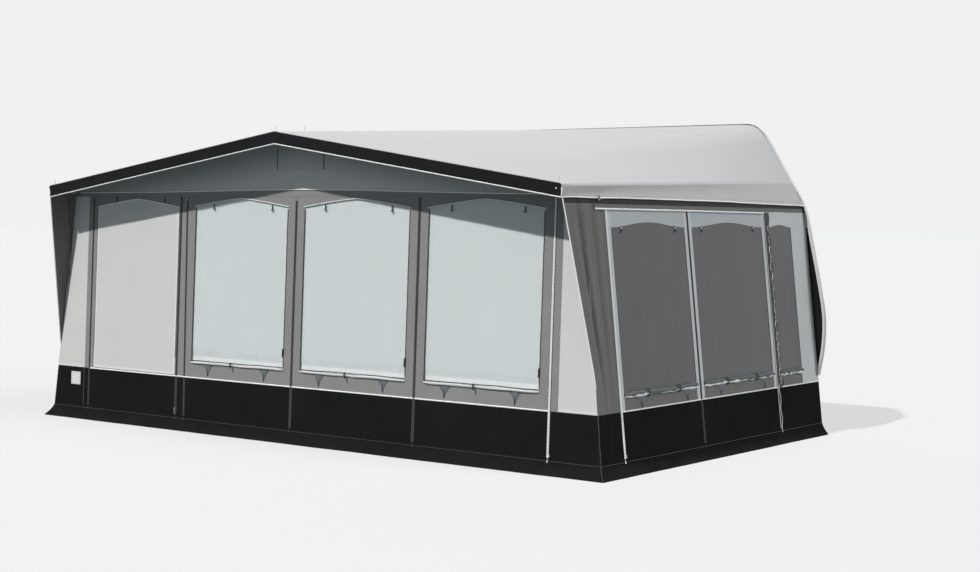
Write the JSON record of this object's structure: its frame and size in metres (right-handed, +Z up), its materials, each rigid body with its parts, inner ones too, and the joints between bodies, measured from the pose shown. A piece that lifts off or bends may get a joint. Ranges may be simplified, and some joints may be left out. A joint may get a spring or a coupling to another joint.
{
  "type": "caravan awning",
  "caption": "Full-size caravan awning with a gabled canopy, zipped window walls, drop-down panels, a swinging door panel, tubular frame with telescopic legs, and a ground skirt.",
  "frame": {"origin": "on the ground, under the middle of the awning's box", "axes": "+X along the front wall, +Y from the front wall back to the caravan, +Z up"},
  "size_m": [5.812, 3.48, 2.5544],
  "materials": {
    "roof_grey": "coated roof cloth, smooth and slightly glossy",
    "wall_grey": "coated polyester wall cloth, matt weave",
    "side_grey": "coated polyester wall cloth, matt weave",
    "light_grey": "coated polyester cloth, matt",
    "black_cloth": "heavy coated skirt and valance cloth, satin",
    "foil": "clear window foil",
    "dark_foil": "tinted window foil with a dark mesh look",
    "curtain_white": "thin white curtain cloth",
    "steel": "galvanised steel tube",
    "black_plastic": "moulded nylon"
  },
  "bodies": {
    "shell": {"beading_strip": "black_cloth", "canopy_valance": "black_cloth", "eave_drop_left": "roof_grey", "eave_drop_right": "roof_grey", "front_corner_left": "light_grey", "front_corner_right": "light_grey", "front_rail_left": "steel", "front_rail_right": "steel", "gable_panel": "wall_grey", "gable_rafter_left": "steel", "gable_rafter_right": "steel", "ground_skirt_front": "black_cloth", "ground_skirt_left": "black_cloth", "ground_skirt_right": "black_cloth", "leg_centre": "steel", "leg_left": "steel", "leg_right": "steel", "roof": "roof_grey", "roof_pole_centre": "steel", "roof_pole_left": "steel", "roof_pole_right": "steel", "side_corner_left": "side_grey", "side_corner_right": "side_grey", "side_pane_3_left": "dark_foil", "side_pane_3_right": "dark_foil", "side_rear_left": "side_grey", "side_rear_right": "side_grey"},
    "door": {"front_panel_1": "wall_grey", "front_pane_1": "foil"},
    "door_cover": {"front_cover_1": "light_grey"},
    "door_slider": {"door_zip_slider": "steel"},
    "bay_2": {"front_panel_2": "wall_grey", "front_pane_2": "foil", "front_cover_roll_2": "light_grey", "curtain_2": "curtain_white"},
    "bay_3": {"front_panel_3": "wall_grey", "front_pane_3": "foil", "front_cover_roll_3": "light_grey", "curtain_3": "curtain_white"},
    "bay_4": {"front_panel_4": "wall_grey", "front_pane_4": "foil", "front_cover_roll_4": "light_grey", "curtain_4": "curtain_white"},
    "side_1_left": {"side_panel_1_left": "side_grey", "side_pane_1_left": "dark_foil"},
    "side_2_left": {"side_panel_2_left": "side_grey", "side_pane_2_left": "dark_foil"},
    "side_slider_left": {"side_zip_slider_left": "steel"},
    "side_1_right": {"side_panel_1_right": "side_grey", "side_pane_1_right": "dark_foil"},
    "side_2_right": {"side_panel_2_right": "side_grey", "side_pane_2_right": "dark_foil"},
    "side_slider_right": {"side_zip_slider_right": "steel"},
    "vent": {"vent_flap": "wall_grey"},
    "foot_left": {"foot_left": "steel"},
    "knob_left": {"clamp_knob_left": "black_plastic"},
    "foot_centre": {"foot_centre": "steel"},
    "knob_centre": {"clamp_knob_centre": "black_plastic"},
    "foot_right": {"foot_right": "steel"},
    "knob_right": {"clamp_knob_right": "black_plastic"}
  },
  "joints": [
    {"name": "door_hinge", "type": "hinge", "parent": "shell", "child": "door", "pos_m": [-2.391, -1.53498, 0.11061], "axis": [0, -0.0397, -0.9992], "range_deg": [0, 90]},
    {"name": "door_cover_drop", "type": "hinge", "parent": "door", "child": "door_cover", "pos_m": [-1.8385, -1.52487, 0.44312], "axis": [1, 0, 0], "range_deg": [0, 85]},
    {"name": "door_zip", "type": "slide", "parent": "door", "child": "door_slider", "axis": [0, 0.0397, 0.9992], "range_m": [0, 1.7]},
    {"name": "bay_2_drop", "type": "hinge", "parent": "shell", "child": "bay_2", "pos_m": [-0.67, -1.53498, 0.11061], "axis": [1, 0, 0], "range_deg": [0, 85]},
    {"name": "bay_3_drop", "type": "hinge", "parent": "shell", "child": "bay_3", "pos_m": [0.5895, -1.53498, 0.11061], "axis": [1, 0, 0], "range_deg": [0, 85]},
    {"name": "bay_4_drop", "type": "hinge", "parent": "shell", "child": "bay_4", "pos_m": [1.806, -1.53498, 0.11061], "axis": [1, 0, 0], "range_deg": [0, 85]},
    {"name": "side_1_left_drop", "type": "hinge", "parent": "shell", "child": "side_1_left", "pos_m": [-2.84293, -0.695, 0.11061], "axis": [0, -1, 0], "range_deg": [0, 85]},
    {"name": "side_2_left_drop", "type": "hinge", "parent": "shell", "child": "side_2_left", "pos_m": [-2.84293, 0.435, 0.11061], "axis": [0, -1, 0], "range_deg": [0, 85]},
    {"name": "side_zip_left", "type": "slide", "parent": "shell", "child": "side_slider_left", "axis": [0.1101, 0, 0.9939], "range_m": [0, 1.64]},
    {"name": "side_1_right_drop", "type": "hinge", "parent": "shell", "child": "side_1_right", "pos_m": [2.84293, -0.695, 0.11061], "axis": [0, 1, 0], "range_deg": [0, 85]},
    {"name": "side_2_right_drop", "type": "hinge", "parent": "shell", "child": "side_2_right", "pos_m": [2.84293, 0.435, 0.11061], "axis": [0, 1, 0], "range_deg": [0, 85]},
    {"name": "side_zip_right", "type": "slide", "parent": "shell", "child": "side_slider_right", "axis": [-0.1101, 0, 0.9939], "range_m": [0, 1.64]},
    {"name": "vent_drop", "type": "hinge", "parent": "shell", "child": "vent", "pos_m": [0, -1.45908, 2.10012], "axis": [1, 0, 0], "range_deg": [0, 120]},
    {"name": "leg_left_extension", "type": "slide", "parent": "shell", "child": "foot_left", "axis": [-0.1123, -0.0359, -0.993], "range_m": [0, 0.12]},
    {"name": "knob_left_turn", "type": "hinge", "parent": "shell", "child": "knob_left", "pos_m": [-2.71936, -1.4671, 0.88234], "axis": [-0.004, 0.9994, -0.0357], "range_deg": [0, 180]},
    {"name": "leg_centre_extension", "type": "slide", "parent": "shell", "child": "foot_centre", "axis": [0, -0.0382, -0.9993], "range_m": [0, 0.12]},
    {"name": "knob_centre_turn", "type": "hinge", "parent": "shell", "child": "knob_centre", "pos_m": [0, -1.4653, 0.88248], "axis": [0, 0.9993, -0.0382], "range_deg": [0, 180]},
    {"name": "leg_right_extension", "type": "slide", "parent": "shell", "child": "foot_right", "axis": [0.1123, -0.0359, -0.993], "range_m": [0, 0.12]},
    {"name": "knob_right_turn", "type": "hinge", "parent": "shell", "child": "knob_right", "pos_m": [2.71936, -1.4671, 0.88234], "axis": [0.004, 0.9994, -0.0357], "range_deg": [0, 180]}
  ]
}
